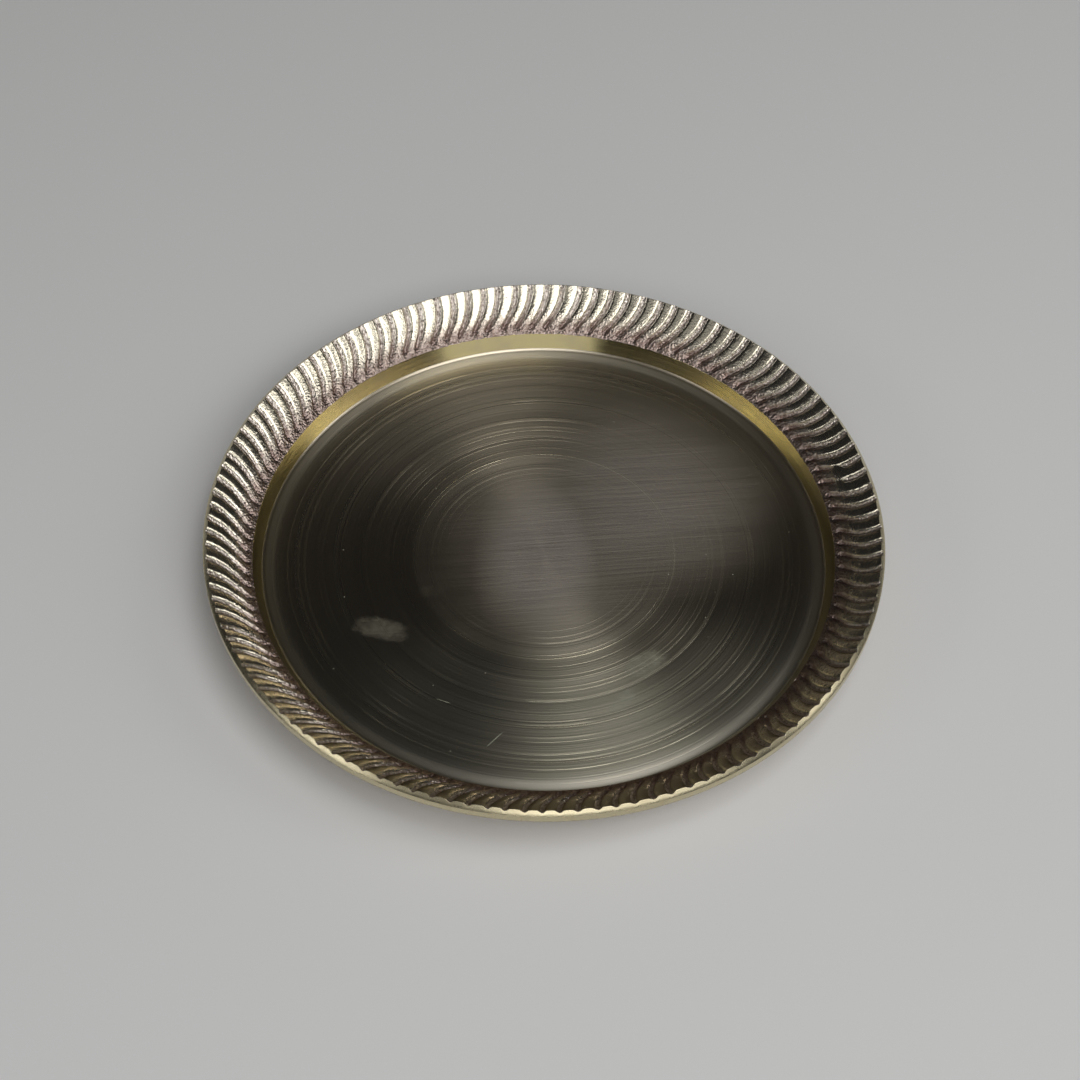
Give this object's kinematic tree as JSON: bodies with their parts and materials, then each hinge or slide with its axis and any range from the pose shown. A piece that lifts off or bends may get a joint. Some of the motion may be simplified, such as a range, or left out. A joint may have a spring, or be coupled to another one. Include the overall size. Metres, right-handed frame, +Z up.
{
  "type": "pin tray",
  "caption": "Small round cast brass tray for pins or coins: flat turned floor, low step and a sloping border of S-shaped flutes with a chamfered outer edge.",
  "frame": {"origin": "middle of the flat base, on the surface that the tray stands on", "axes": "+Z up along the axis of the tray; the flutes turn counter-clockwise inwards, seen from above"},
  "size_m": [0.1, 0.1, 0.0096],
  "materials": {
    "cast_brass": "turned and polished floor, step and edge; as-cast rosy skin on the fluted border"
  },
  "bodies": {
    "root": {"cast_tray": "cast_brass"}
  },
  "joints": []
}
